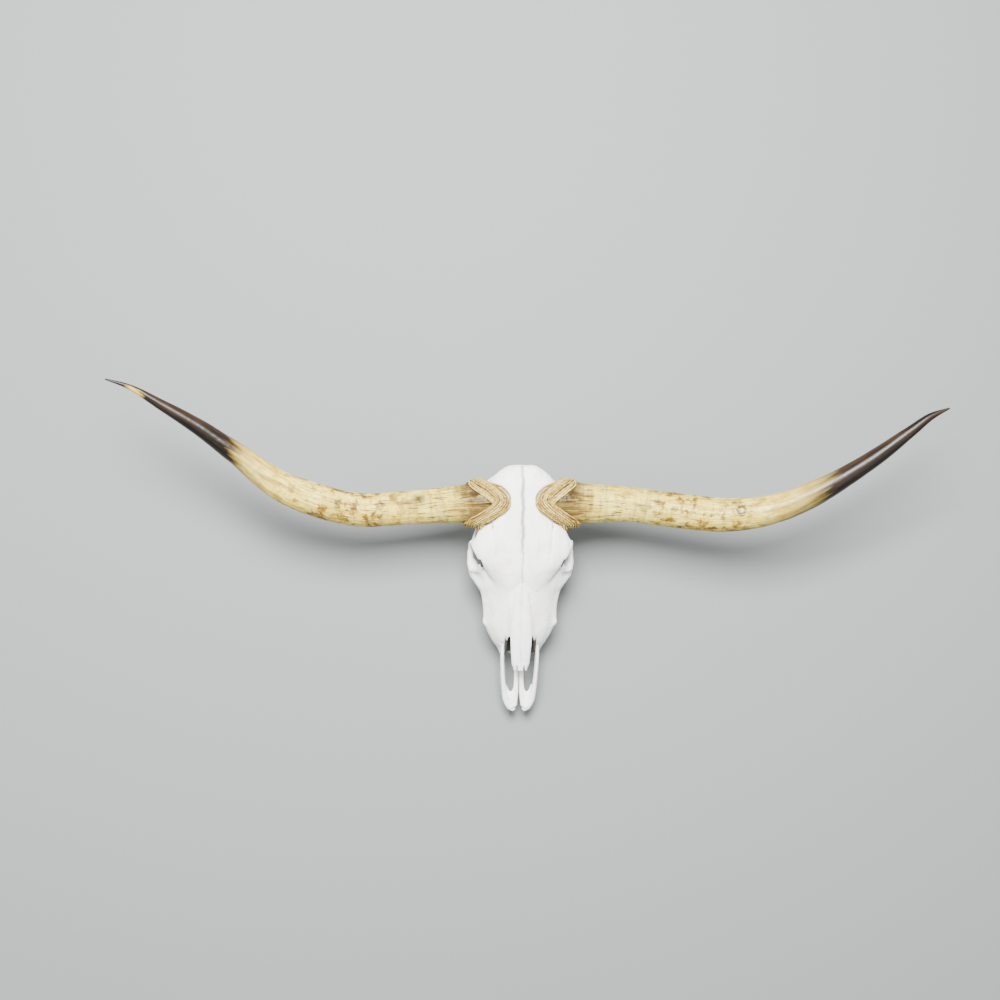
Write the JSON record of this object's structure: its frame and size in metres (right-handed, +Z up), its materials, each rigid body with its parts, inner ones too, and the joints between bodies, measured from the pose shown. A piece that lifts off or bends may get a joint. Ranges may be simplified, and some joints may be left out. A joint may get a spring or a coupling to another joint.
{
  "type": "longhorn steer skull",
  "caption": "Bare skull of a longhorn steer without its lower jaw, lying face up on its cheek teeth, with long up-curved horns lashed with cord at their roots.",
  "frame": {"origin": "middle of the whole outline, at floor level", "axes": "+X towards the tip of the animal's own left horn, -Y towards its nose, +Z up from the floor and out of its forehead"},
  "size_m": [1.7112, 0.698, 0.2875],
  "materials": {
    "bone": "bleached, dry bone",
    "horn": "polished horn, cream at the root and dark at the tip",
    "cord": "tan natural twine"
  },
  "bodies": {
    "root": {"cranium": "bone", "maxilla_left": "bone", "maxilla_right": "bone", "nasal_left": "bone", "nasal_right": "bone", "premaxilla_left": "bone", "premaxilla_right": "bone", "horn_left": "horn", "horn_right": "horn", "lashing_left": "cord", "lashing_right": "cord"}
  },
  "joints": []
}
